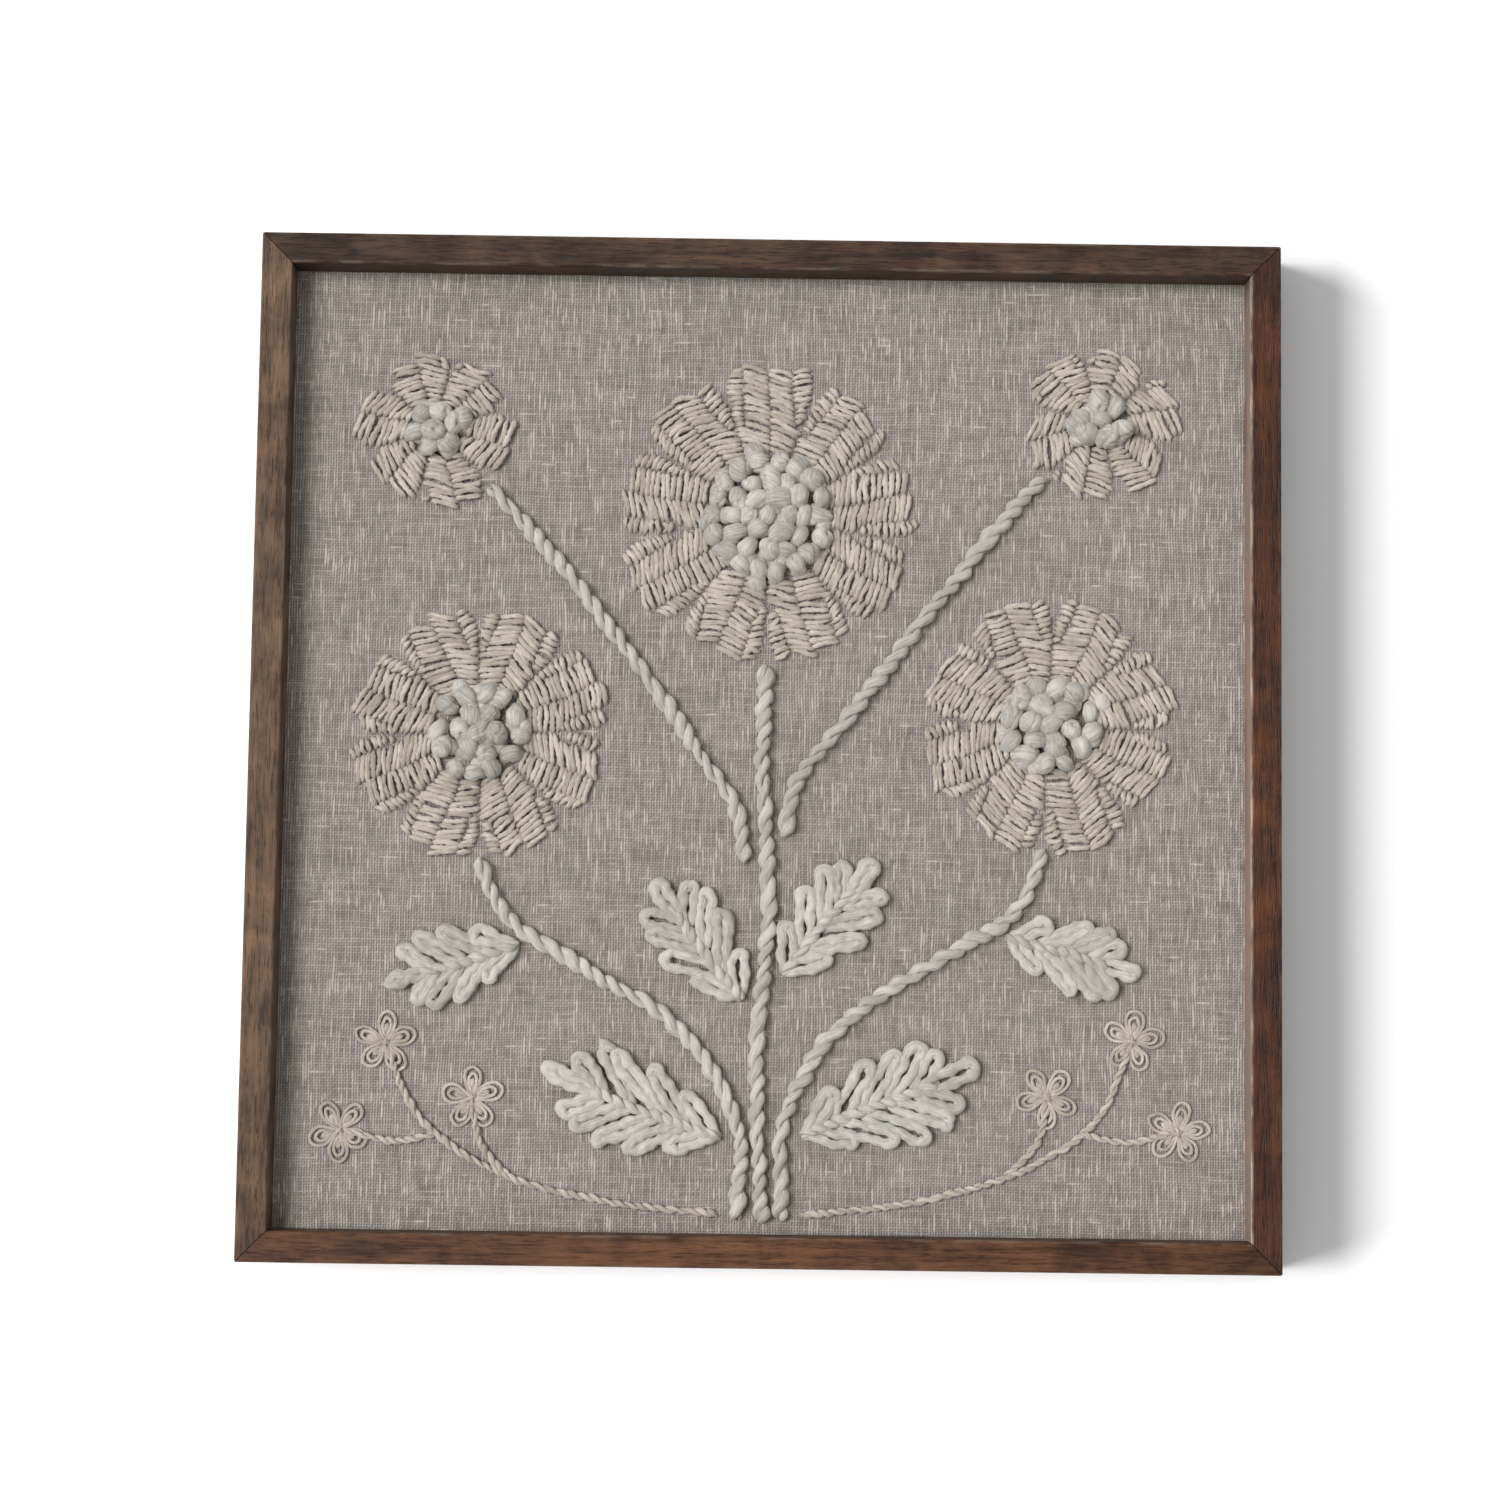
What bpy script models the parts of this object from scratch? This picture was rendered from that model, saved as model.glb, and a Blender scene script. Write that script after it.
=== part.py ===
"""Framed embroidery: linen with raised wool flowers, stretched on a board in a mitred wooden frame.

The picture lies on its back. X runs to its right, Y to its top and Z out of its face.
The origin is the middle of its back, on the surface that it rests on. Lengths are in metres.
"""

import math
import random

import bmesh
import bpy
from mathutils import Vector
from mathutils.geometry import delaunay_2d_cdt

MM = 0.001

# The frame, the board and the linen
SIDE = 400 * MM
DEPTH = 25 * MM
FACE = 12 * MM
LIP = 14.7 * MM
RABBET = 5 * MM
ARRIS = 0.8 * MM
LINEN_THICK = 1.2 * MM
BOARD_THICK = 3 * MM
GAP = 0.3 * MM

HALF = SIDE / 2
WALL = FACE - RABBET
LEDGE = DEPTH - LIP
LINEN_TOP = LEDGE - GAP
BOARD_TOP = LINEN_TOP - LINEN_THICK - GAP
PANEL_SIDE = 2 * (HALF - WALL - GAP)
FOOT = LINEN_TOP + GAP

# Satin-stitched petals: blunt, in columns that run out from the heart.
# A share across a petal runs from -1 to 1, and the valleys reach a share of the petal's reach.
PETAL_BLUNT = 6
PETAL_VALLEY = 0.6
PETAL_SHORTEST = 0.94
PETAL_SHARES = (-0.93, -0.75, -0.4, 0.0, 0.4, 0.75, 0.93, 1.0)
PETAL_HEIGHT = 2.2 * MM
PETAL_GROOVE = 0.5 * MM
PETAL_EDGE = 1.0 * MM
COLUMN_WIDTH = 14 * MM
ROW_LENGTH = 9 * MM
ROW_START = 0.6
ROW_STAGGER = 0.3
ROW_LAST = 0.93

# Hearts: a dome of knots
KNOT_PITCH = 7.6 * MM
KNOT_RADIUS = 4.3 * MM
KNOT_WANDER = 0.8 * MM
KNOT_TURN = 0.1
KNOT_SHOULDER = 0.55 * KNOT_RADIUS
KNOT_SINK = KNOT_RADIUS / 4
KNOT_NEXT = 1.35 * KNOT_PITCH
KNOT_LOW = 1.6 * MM
KNOT_RISE = 3.4 * MM
KNOT_EDGE = 3.0 * MM
HEART_FULL = 0.95
HEART_LAST = 0.94
HEART_STEPS = 42
HEART_USUAL = 25 * MM

# Leaves: pairs of fat loops on a midrib, rooted along a share of its length
LEAF_RUN = 0.76
LEAF_BELLY = 0.7
LEAF_START = 1.4
LEAF_END = 0.3
LOOP_ROOT = 0.25
LOOP_FULL = 0.56
LOOP_SHORTEST = 0.94
LOOP_LONGEST = 1.04
LOOP_ANGLE = math.radians(40)
LOOP_OFFSETS = (-0.5, -0.28, 0.0, 0.28, 0.5)
LOOP_STEP = 4.6 * MM
LOOP_EDGE = 1.2 * MM
LOOP_RISE = 3.2 * MM
MIDRIB_WIDTH = 3.0 * MM
MIDRIB_STEPS = 8

# Stems: yarn laid with a rope's twist
STEM_WIDTH = 6.4 * MM
STEM_HEIGHT = 4.6 * MM
STEM_LOBE = 7.6 * MM
CURVE_STEPS = 40

# share of the width across, share of the height up, how far it leans with the twist
STEM_SECTION = (
    (-0.36, 0.0, 0.08),
    (-0.43, 0.5, 0.07),
    (0.0, 1.0, 0.12),
    (0.43, 0.5, 0.07),
    (0.36, 0.0, 0.08),
)

# Sprigs: thin yarn with florets of five loops
SPRIG_WIDTH = 3.4 * MM
SPRIG_HEIGHT = 2.2 * MM
SPRIG_STEP = 6.5 * MM
FLORET_PETALS = 5
FLORET_REACH = 13.5 * MM
FLORET_VALLEY = 0.26
FLORET_FULL = 0.84
FLORET_SHARES = (-0.8, -0.5, 0.0, 0.5, 0.8, 1.0)
FLORET_TOPS = ((-0.4, 0.62), (0.4, 0.62), (0.0, 0.85), (0.0, 0.35))
FLORET_HEIGHT = 1.5 * MM
FLORET_EDGE = 0.9 * MM

# name: middle x, middle y, reach, radius of the heart (mm), petals, turn (degrees)
FLOWERS = {
    "top": (0, 92, 62, 26.5, 9, 90),
    "left": (-112, 5, 52, 20, 8, 24),
    "right": (111, 11, 52, 20, 8, 20),
    "bud_left": (-132, 125, 32, 12, 6, -13),
    "bud_right": (131, 131, 32, 12, 6, 14),
}

# name: root x, root y, length, width (mm), pairs of loops, direction (degrees)
LEAVES = {
    "low_left": (-15, -151, 74, 40, 5, 161),
    "low_right": (15.5, -150, 74, 40, 5, 21),
    "mid_left": (-7.5, -98, 58, 34, 4, 128),
    "mid_right": (7.5, -88, 58, 34, 4, 50),
    "outer_left": (-94.5, -77, 54, 32, 4, 198),
    "outer_right": (94.5, -72, 54, 32, 4, -16),
}

# name: points along the yarn, x and y (mm)
STEMS = {
    "centre": ((1, -183), (-2, -125), (2, -60), (-1, -10), (0, 32.8)),
    "left": ((-8.5, -182), (-9.5, -146), (-31, -110), (-70, -86), (-100, -67), (-111, -44.2)),
    "right": ((8.5, -182), (9, -144), (30, -108), (68, -82), (98, -62), (109.3, -38.2)),
    "bud_left": ((-7.6, -44), (-12, -22), (-30, 4), (-56, 40), (-88, 79), (-109.6, 102.6)),
    "bud_right": ((7.6, -34), (12, -14), (30, 10), (57, 46), (88, 86), (108.8, 108.8)),
}

# name: runs of thin yarn, x and y (mm)
SPRIGS = {
    "left": (
        ((-16, -180.5), (-60, -176), (-100, -166), (-131, -146), (-145, -119)),
        ((-97, -167.5), (-108, -155), (-112, -139)),
        ((-125, -151), (-142, -154), (-161, -150)),
    ),
    "right": (
        ((16, -180.5), (60, -175), (100, -163), (130, -143), (143, -115)),
        ((95, -165), (107, -152), (111, -136)),
        ((124, -148), (141, -151), (160, -147)),
    ),
}

# name: middle x and y (mm), turn (degrees) of each floret
FLORETS = {
    "left": ((-112, -137, 20), (-146, -116, 90), (-163, -150, 50)),
    "right": ((111, -134, 50), (144, -112, 80), (162, -147, 10)),
}

# name: red, green, blue, roughness
COLOURS = {
    "walnut": (0.105, 0.062, 0.040, 0.5),
    "board": (0.270, 0.190, 0.120, 0.85),
    "linen": (0.330, 0.292, 0.262, 0.95),
    "roving": (0.680, 0.650, 0.600, 0.9),
    "fine_wool": (0.560, 0.510, 0.430, 0.9),
}


def clear_scene():
    for obj in list(bpy.data.objects):
        bpy.data.objects.remove(obj)


def make_material(name):
    red, green, blue, roughness = COLOURS[name]
    material = bpy.data.materials.new(name)
    material.use_nodes = True
    shader = material.node_tree.nodes["Principled BSDF"]
    shader.inputs["Base Color"].default_value = (red, green, blue, 1)
    shader.inputs["Roughness"].default_value = roughness
    shader.inputs["Metallic"].default_value = 0
    return material


def add_object(name, mesh, material):
    obj = bpy.data.objects.new(name, mesh)
    if not mesh.materials:
        mesh.materials.append(material)
    bpy.data.collections["framed_embroidery"].objects.link(obj)
    return obj


def mesh_from(bm, name, smooth_degrees=50):
    bmesh.ops.recalc_face_normals(bm, faces=bm.faces)
    mesh = bpy.data.meshes.new(name)
    bm.to_mesh(mesh)
    bm.free()
    mesh.shade_smooth()
    mesh.set_sharp_from_angle(angle=math.radians(smooth_degrees))
    return mesh


# Wooden frame

def rail_mesh():
    """The bottom rail: an L section with mitred ends. Its lip lies over the linen's edge."""
    section = ((0, 0), (WALL, 0), (WALL, LEDGE), (FACE, LEDGE), (FACE, DEPTH), (0, DEPTH))
    eased = ((0, 0), (0, DEPTH), (FACE, DEPTH))
    mitre_gap = GAP * math.sqrt(0.5)
    bm = bmesh.new()
    ring = [bm.verts.new((inset - HALF + mitre_gap, inset - HALF, z)) for inset, z in section]
    end = bm.faces.new(ring)
    far = bmesh.ops.extrude_face_region(bm, geom=[end], use_keep_orig=True)["geom"]
    for vert in far:
        if isinstance(vert, bmesh.types.BMVert):
            vert.co.x = -vert.co.x
    weight = bm.edges.layers.float.new("bevel_weight_edge")
    for edge in bm.edges:
        first, last = (vert.co for vert in edge.verts)
        along = abs(first.x - last.x) > SIDE / 2
        if along and any(math.dist((first.y + HALF, first.z), place) < GAP for place in eased):
            edge[weight] = 1
    return mesh_from(bm, "rail", 35)


def build_frame(wood):
    mesh = rail_mesh()
    for turn, place in enumerate(("bottom", "right", "top", "left")):
        rail = add_object(f"rail_{place}", mesh, wood)
        rail.rotation_euler.z = turn * math.pi / 2
        bevel = rail.modifiers.new("eased edges", "BEVEL")
        bevel.limit_method = "WEIGHT"
        bevel.width = ARRIS
        bevel.segments = 2


def build_sheet(name, top, thick, material):
    """A flat square held in the frame's rabbet."""
    bm = bmesh.new()
    bmesh.ops.create_cube(bm, size=1)
    bmesh.ops.scale(bm, vec=(PANEL_SIDE, PANEL_SIDE, thick), verts=bm.verts)
    sheet = add_object(name, mesh_from(bm, name), material)
    sheet.location.z = top - thick / 2


# Raised work: outlines filled with points, each raised to its height

def within(point, outline):
    x, y = point
    crossings = 0
    for (ax, ay), (bx, by) in zip(outline, outline[1:] + outline[:1]):
        if (ay > y) != (by > y) and x < ax + (bx - ax) * (y - ay) / (by - ay):
            crossings += 1
    return crossings % 2 == 1


def raised_pad(name, outlines, hole, points, height, material, place=(0, 0), turn=0):
    """A closed solid with a flat foot, whose top is height(x, y, on its rim or not) high."""

    def inside(point):
        return any(within(point, o) for o in outlines) and not within(point, hole)

    flat, rims = [], []
    for outline in outlines + [hole]:
        start, count = len(flat), len(outline)
        flat += outline
        rims += [(start + i, start + (i + 1) % count) for i in range(count)]
    flat += [point for point in points if inside(point)]
    spots, _, faces, *_ = delaunay_2d_cdt([Vector(p) for p in flat], rims, [], 0, 1e-6)
    bm = bmesh.new()
    verts = [bm.verts.new((*spot, 0)) for spot in spots]
    for face in faces:
        middle = sum((spots[i] for i in face), Vector((0, 0))) / len(face)
        if inside(middle):
            bm.faces.new([verts[i] for i in face])
    for vert in verts:
        if not vert.link_faces:
            bm.verts.remove(vert)
        else:
            vert.co.z = height(vert.co.x, vert.co.y, vert.is_boundary)
    border = [rim for rim in bm.edges if rim.is_boundary]
    walls = bmesh.ops.extrude_edge_only(bm, edges=border)["geom"]
    for vert in walls:
        if isinstance(vert, bmesh.types.BMVert):
            vert.co.z = 0
    foot = [rim for rim in walls if isinstance(rim, bmesh.types.BMEdge)]
    bmesh.ops.triangle_fill(bm, use_beauty=True, edges=foot)
    pad = add_object(name, mesh_from(bm, name), material)
    pad.location = (place[0] * MM, place[1] * MM, FOOT)
    pad.rotation_euler.z = math.radians(turn)


def polar(radius, angle):
    return (radius * math.cos(angle), radius * math.sin(angle))


def around(radius, steps):
    return [polar(radius, math.tau * i / steps) for i in range(steps)]


# Flowers

def petal_reach(share, longest, valley):
    return longest * (valley + (1 - valley) * math.sqrt(max(0, 1 - abs(share) ** PETAL_BLUNT)))


def build_petals(name, flower, material):
    x, y, reach, heart, petals, turn = flower
    reach, heart = reach * MM, heart * MM + GAP
    step = math.tau / petals
    columns = round(step * reach / COLUMN_WIDTH)
    rows = round((reach - heart) / ROW_LENGTH)
    wander = random.Random(name)
    rim, points = [], []
    for petal in range(petals):
        longest = reach * wander.uniform(PETAL_SHORTEST, 1)
        for share in PETAL_SHARES:
            length = longest if share < 1 else reach
            angle = (petal + share / 2) * step
            rim.append(polar(petal_reach(share, length, PETAL_VALLEY), angle))
        for line in range(2 * columns):
            share = (line + 0.5) / columns - 1
            span = ROW_LAST * petal_reach(share, longest, PETAL_VALLEY) - heart
            for row in range(rows):
                out = (row + ROW_START + ROW_STAGGER * (line % 2)) / rows
                points.append(polar(heart + span * out, (petal + share / 2) * step))

    def height(px, py, on_rim):
        if on_rim:
            return PETAL_EDGE if math.hypot(px, py) > heart + MM else PETAL_HEIGHT
        share = 2 * ((math.atan2(py, px) / step + 0.5) % 1) - 1
        return PETAL_HEIGHT + PETAL_GROOVE * math.sin(math.pi * columns * (share + 1))

    sides = 8 * columns
    hole = around(heart / math.cos(math.pi / sides), sides)
    raised_pad(f"petals_{name}", [rim], hole, points, height, material, (x, y), turn)


def dome(point, heart):
    """How far a heart's ground rises towards its middle."""
    return KNOT_LOW + KNOT_RISE * (1 - (math.hypot(*point) / heart) ** 2)


def knots_of(name, heart):
    """Knots packed in rings around a middle one, as uneven as by hand."""
    wander = random.Random(name)
    rings = round((heart - KNOT_RADIUS) / KNOT_PITCH)
    pitch = (heart - KNOT_RADIUS) / rings
    knots = [(0.0, 0.0, dome((0, 0), heart))]
    for ring in range(1, rings + 1):
        for i in range(6 * ring):
            turn = i + ring / 2 + wander.uniform(-KNOT_TURN, KNOT_TURN)
            radius = ring * pitch - wander.uniform(0, KNOT_WANDER)
            spot = polar(radius, math.tau * turn / (6 * ring))
            knots.append((*spot, dome(spot, heart) + wander.uniform(-0.5, 0.5) * KNOT_WANDER))
    return knots


def build_heart(name, flower, material):
    x, y, _, heart, _, turn = flower
    heart *= MM
    knots = knots_of(name, heart)

    def rim_radius(angle):
        """How far out the knots reach in one direction."""
        reach = HEART_FULL * heart
        for kx, ky, _ in knots:
            along = kx * math.cos(angle) + ky * math.sin(angle)
            aside = kx * math.sin(angle) - ky * math.cos(angle)
            if abs(aside) < KNOT_RADIUS:
                reach = max(reach, along + math.sqrt(KNOT_RADIUS**2 - aside**2))
        return min(reach, heart)

    steps = round(HEART_STEPS * math.sqrt(heart / HEART_USUAL))
    angles = [math.tau * i / steps for i in range(steps)]
    rim = [polar(rim_radius(angle), angle) for angle in angles]
    points = [(kx, ky) for kx, ky, _ in knots]
    for kx, ky, _ in knots:
        for cx, cy in around(KNOT_SHOULDER, 6):
            spot = (kx + cx, ky + cy)
            if all(math.dist(spot, (ox, oy)) > KNOT_SHOULDER - GAP for ox, oy, _ in knots):
                points.append(spot)
    for i, (ax, ay, _) in enumerate(knots):
        for bx, by, _ in knots[:i]:
            if math.dist((ax, ay), (bx, by)) < KNOT_NEXT:
                points.append(((ax + bx) / 2, (ay + by) / 2))
    points = [p for p in points if math.hypot(*p) < HEART_LAST * rim_radius(math.atan2(p[1], p[0]))]

    def height(px, py, on_rim):
        top = KNOT_EDGE if on_rim else dome((px, py), heart) + KNOT_SINK
        for kx, ky, rise in knots:
            away = math.dist((px, py), (kx, ky))
            if away < KNOT_RADIUS and not on_rim:
                top = max(top, rise + math.sqrt(KNOT_RADIUS**2 - away**2))
        return top

    raised_pad(f"heart_{name}", [rim], [], points, height, material, (x, y), turn)


# Leaves

def loops_of(name, length, width, pairs):
    """Where the loops up one side of a leaf root on its midrib, and how far they reach."""
    pitch = LEAF_RUN * length / pairs
    half = LOOP_FULL * pitch * math.sin(LOOP_ANGLE)
    wander = random.Random(name)
    loops = []
    for i in range(pairs):
        belly = math.sin(math.pi * (i + LEAF_START) / (pairs + LEAF_START + LEAF_END))
        reach = (width / 2 * belly**LEAF_BELLY - half) / math.sin(LOOP_ANGLE)
        loops.append((pitch * (i + LOOP_ROOT), reach * wander.uniform(LOOP_SHORTEST, LOOP_LONGEST)))
    return loops, pitch, half


def build_leaf(name, leaf, material):
    x, y, length, width, pairs, turn = leaf
    length, width = length * MM, width * MM
    sides, axes = [], []
    points = [(length * (i + 0.5) / MIDRIB_STEPS, 0.0) for i in range(MIDRIB_STEPS - 1)]
    for side in (1, -1):
        loops, pitch, half = loops_of(f"{name} {side}", length, width, pairs)
        edge = [(0.0, side * MIDRIB_WIDTH / 2)]

        def spot(root, out):
            return (root + out * math.cos(LOOP_ANGLE), side * out * math.sin(LOOP_ANGLE))

        for root, reach in loops:
            axes.append((spot(root, 0), spot(root, reach)))
            for offset in LOOP_OFFSETS:
                aside = offset * pitch
                cap = math.sqrt(half**2 - (aside * math.sin(LOOP_ANGLE)) ** 2)
                edge.append(spot(root + aside, reach + cap))
            count = max(2, round(reach / LOOP_STEP))
            for i in range(count):
                points.append(spot(root, reach * (i + 1) / count))
                points.append(spot(root + pitch / 2, reach * (i + 0.5) / count))
        crook = loops[-1][0] + pitch / 2 + 2 * half
        edge += [(crook, side * half), (length - half, side * half)]
        sides.append(edge)
    axes.append(((0.0, 0.0), (length - half, 0.0)))
    rim = sides[0] + [(length, 0.0)] + sides[1][::-1]
    points = [p for p in points if all(math.dist(p, other) > half / 3 for other in rim)]

    def height(px, py, on_rim):
        if on_rim:
            return LOOP_EDGE
        away = min(distance_to((px, py), *axis) for axis in axes) / half
        return LOOP_EDGE + LOOP_RISE * math.sqrt(max(0, 1 - away**2))

    raised_pad(f"leaf_{name}", [rim], [], points, height, material, (x, y), turn)


def distance_to(point, start, end):
    """Distance from a point to a straight run."""
    (px, py), (ax, ay), (bx, by) = point, start, end
    run = (bx - ax) ** 2 + (by - ay) ** 2
    share = max(0, min(1, ((px - ax) * (bx - ax) + (py - ay) * (by - ay)) / run))
    return math.dist(point, (ax + (bx - ax) * share, ay + (by - ay) * share))


# Stems

def smooth_path(points, step):
    """Points about step apart on a smooth curve through the given ones, with its directions."""
    knots = [Vector(p) * MM for p in points]
    knots = [2 * knots[0] - knots[1]] + knots + [2 * knots[-1] - knots[-2]]
    fine = []
    for p0, p1, p2, p3 in zip(knots, knots[1:], knots[2:], knots[3:]):
        for i in range(CURVE_STEPS):
            t = i / CURVE_STEPS
            a = 2 * p1 + (p2 - p0) * t
            b = (2 * p0 - 5 * p1 + 4 * p2 - p3) * t * t + (3 * p1 - p0 - 3 * p2 + p3) * t**3
            fine.append((a + b) / 2)
    fine.append(knots[-2])
    along = [0.0]
    for p, q in zip(fine, fine[1:]):
        along.append(along[-1] + (q - p).length)
    count = max(2, round(along[-1] / step))
    path, j = [], 0
    for i in range(count + 1):
        wanted = along[-1] * i / count
        while j < len(fine) - 2 and along[j + 1] < wanted:
            j += 1
        share = (wanted - along[j]) / (along[j + 1] - along[j])
        path.append((fine[j].lerp(fine[j + 1], share), (fine[j + 1] - fine[j]).normalized()))
    return path


def build_stem(name, points, material):
    """Sections half a lobe apart, leaning left and right in turn as twisted yarn does."""
    bm = bmesh.new()
    rings = []
    for i, (spot, ahead) in enumerate(smooth_path(points, STEM_LOBE / 2)):
        lean = 1 if i % 2 else -1
        aside = Vector((-ahead.y, ahead.x))
        ring = []
        for across, up, sway in STEM_SECTION:
            place = spot + aside * (across - sway * lean) * STEM_WIDTH
            ring.append(bm.verts.new((place.x, place.y, up * STEM_HEIGHT)))
        rings.append(ring)
    for before, after in zip(rings, rings[1:]):
        for k in range(len(before)):
            n = (k + 1) % len(before)
            bm.faces.new((before[k], before[n], after[n], after[k]))
    bm.faces.new(rings[0])
    bm.faces.new(rings[-1])
    bmesh.ops.triangulate(bm, faces=bm.faces)
    stem = add_object(f"stem_{name}", mesh_from(bm, name), material)
    stem.location.z = FOOT


# Sprigs: thin yarn that branches to florets

def floret_outline(middle, turn):
    """The edge of five loops around a spot, and points on top of them."""
    step = math.tau / FLORET_PETALS
    rim, points = [], []
    for petal in range(FLORET_PETALS):
        ahead = math.radians(turn) + petal * step
        for share in FLORET_SHARES:
            full = FLORET_FULL if share < 1 else 1
            radius = petal_reach(share, FLORET_REACH, FLORET_VALLEY)
            rim.append(middle + Vector(polar(radius, ahead + share / 2 * step * full)))
        for share, out in FLORET_TOPS:
            points.append(middle + Vector(polar(FLORET_REACH * out, ahead + share / 2 * step)))
    return [tuple(spot) for spot in rim], [tuple(spot) for spot in points]


def build_sprig(name, runs, florets, material):
    outlines, points, lines = [], [], []
    for run in runs:
        path = smooth_path(run, SPRIG_STEP)
        side = [Vector((-ahead.y, ahead.x)) * SPRIG_WIDTH / 2 for _, ahead in path]
        left = [tuple(spot + aside) for (spot, _), aside in zip(path, side)]
        right = [tuple(spot - aside) for (spot, _), aside in zip(path, side)]
        outlines.append(left + right[::-1])
        lines += [tuple(spot) for spot, _ in path]
    for fx, fy, turn in florets:
        rim, tops = floret_outline(Vector((fx, fy)) * MM, turn)
        outlines.append(rim)
        points += tops

    def height(px, py, on_rim):
        if on_rim:
            return FLORET_EDGE
        near = min(math.dist((px, py), spot) for spot in lines)
        return SPRIG_HEIGHT if near < SPRIG_WIDTH / 2 else FLORET_HEIGHT

    raised_pad(f"sprig_{name}", outlines, [], points + lines, height, material)


def build():
    clear_scene()
    bpy.context.scene.collection.children.link(bpy.data.collections.new("framed_embroidery"))
    made = {name: make_material(name) for name in COLOURS}
    build_frame(made["walnut"])
    build_sheet("mounting_board", BOARD_TOP, BOARD_THICK, made["board"])
    build_sheet("linen_ground", LINEN_TOP, LINEN_THICK, made["linen"])
    for name, flower in FLOWERS.items():
        build_petals(name, flower, made["fine_wool"])
        build_heart(name, flower, made["roving"])
    for name, leaf in LEAVES.items():
        build_leaf(name, leaf, made["roving"])
    for name, points in STEMS.items():
        build_stem(name, points, made["roving"])
    for name, runs in SPRIGS.items():
        build_sprig(name, runs, FLORETS[name], made["fine_wool"])


build()
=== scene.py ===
"""Looks for the framed embroidery: worked yarn, woven linen, stained wood, light and camera.

Everything is in metres in the row frame: X to the picture's right, Y to its top, Z out of its face.
The tables of places and sizes repeat the part's source, so that each piece lies on its solid.
"""

import math
import random

import bmesh
import bpy
import numpy as np
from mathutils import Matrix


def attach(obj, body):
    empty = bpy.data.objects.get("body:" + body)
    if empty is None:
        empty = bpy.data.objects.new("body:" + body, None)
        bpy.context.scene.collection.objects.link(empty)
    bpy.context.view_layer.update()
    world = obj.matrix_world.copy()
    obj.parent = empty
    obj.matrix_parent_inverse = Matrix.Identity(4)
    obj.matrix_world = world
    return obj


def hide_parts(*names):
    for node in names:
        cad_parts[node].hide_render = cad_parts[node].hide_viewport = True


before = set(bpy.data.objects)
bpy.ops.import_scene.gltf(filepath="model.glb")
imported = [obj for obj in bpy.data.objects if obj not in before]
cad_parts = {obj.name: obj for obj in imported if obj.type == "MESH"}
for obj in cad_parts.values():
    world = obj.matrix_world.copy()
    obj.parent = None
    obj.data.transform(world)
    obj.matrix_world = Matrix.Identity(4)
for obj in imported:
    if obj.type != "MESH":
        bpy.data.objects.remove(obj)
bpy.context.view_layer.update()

MM = 0.001
SIDE = 400 * MM
DEPTH = 25 * MM
FACE = 12 * MM
PANEL_SIDE = 385.4 * MM
LINEN_TOP = 10.0 * MM
LINEN_THICK = 1.2 * MM
FOOT = 10.3 * MM

# Glue in a mitre, a little inside the rail's section (mm): places out, places up, half thickness
RIM, WALL_LINE, OUTER = 188.5, 193.2, 199.5
BASE, LEDGE, CREST = 0.6, 10.8, 24.1
GLUE_HALF = 0.1

# name: middle x, middle y, reach, radius of the heart (mm), petals, turn (degrees)
FLOWERS = {
    "top": (0, 92, 62, 26.5, 9, 90),
    "left": (-112, 5, 52, 20, 8, 24),
    "right": (111, 11, 52, 20, 8, 20),
    "bud_left": (-132, 125, 32, 12, 6, -13),
    "bud_right": (131, 131, 32, 12, 6, 14),
}
PETAL_BLUNT = 6
PETAL_VALLEY = 0.6
PETAL_SHORTEST = 0.94
COLUMN_WIDE = 10 * MM
KNOT_PITCH = 7.6 * MM
KNOT_RADIUS = 4.3 * MM
KNOT_WANDER = 0.8 * MM
KNOT_TURN = 0.1
KNOT_LOW = 1.6 * MM
KNOT_RISE = 3.4 * MM

# name: root x, root y, length, width (mm), pairs of loops, direction (degrees)
LEAVES = {
    "low_left": (-15, -151, 74, 40, 5, 161),
    "low_right": (15.5, -150, 74, 40, 5, 21),
    "mid_left": (-7.5, -98, 58, 34, 4, 128),
    "mid_right": (7.5, -88, 58, 34, 4, 50),
    "outer_left": (-94.5, -77, 54, 32, 4, 198),
    "outer_right": (94.5, -72, 54, 32, 4, -16),
}
LEAF_RUN = 0.76
LEAF_BELLY = 0.7
LEAF_START = 1.4
LEAF_END = 0.3
LOOP_ROOT = 0.25
LOOP_FULL = 0.56
LOOP_SHORTEST = 0.94
LOOP_LONGEST = 1.04
LOOP_ANGLE = math.radians(40)

# name: points along the yarn, x and y (mm)
STEMS = {
    "centre": ((1, -183), (-2, -125), (2, -60), (-1, -10), (0, 32.8)),
    "left": ((-8.5, -182), (-9.5, -146), (-31, -110), (-70, -86), (-100, -67), (-111, -44.2)),
    "right": ((8.5, -182), (9, -144), (30, -108), (68, -82), (98, -62), (109.3, -38.2)),
    "bud_left": ((-7.6, -44), (-12, -22), (-30, 4), (-56, 40), (-88, 79), (-109.6, 102.6)),
    "bud_right": ((7.6, -34), (12, -14), (30, 10), (57, 46), (88, 86), (108.8, 108.8)),
}
STEM_LOBE = 7.6 * MM

# name: runs of thin yarn, x and y (mm)
SPRIGS = {
    "left": (
        ((-16, -180.5), (-60, -176), (-100, -166), (-131, -146), (-145, -119)),
        ((-97, -167.5), (-108, -155), (-112, -139)),
        ((-125, -151), (-142, -154), (-161, -150)),
    ),
    "right": (
        ((16, -180.5), (60, -175), (100, -163), (130, -143), (143, -115)),
        ((95, -165), (107, -152), (111, -136)),
        ((124, -148), (141, -151), (160, -147)),
    ),
}

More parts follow.
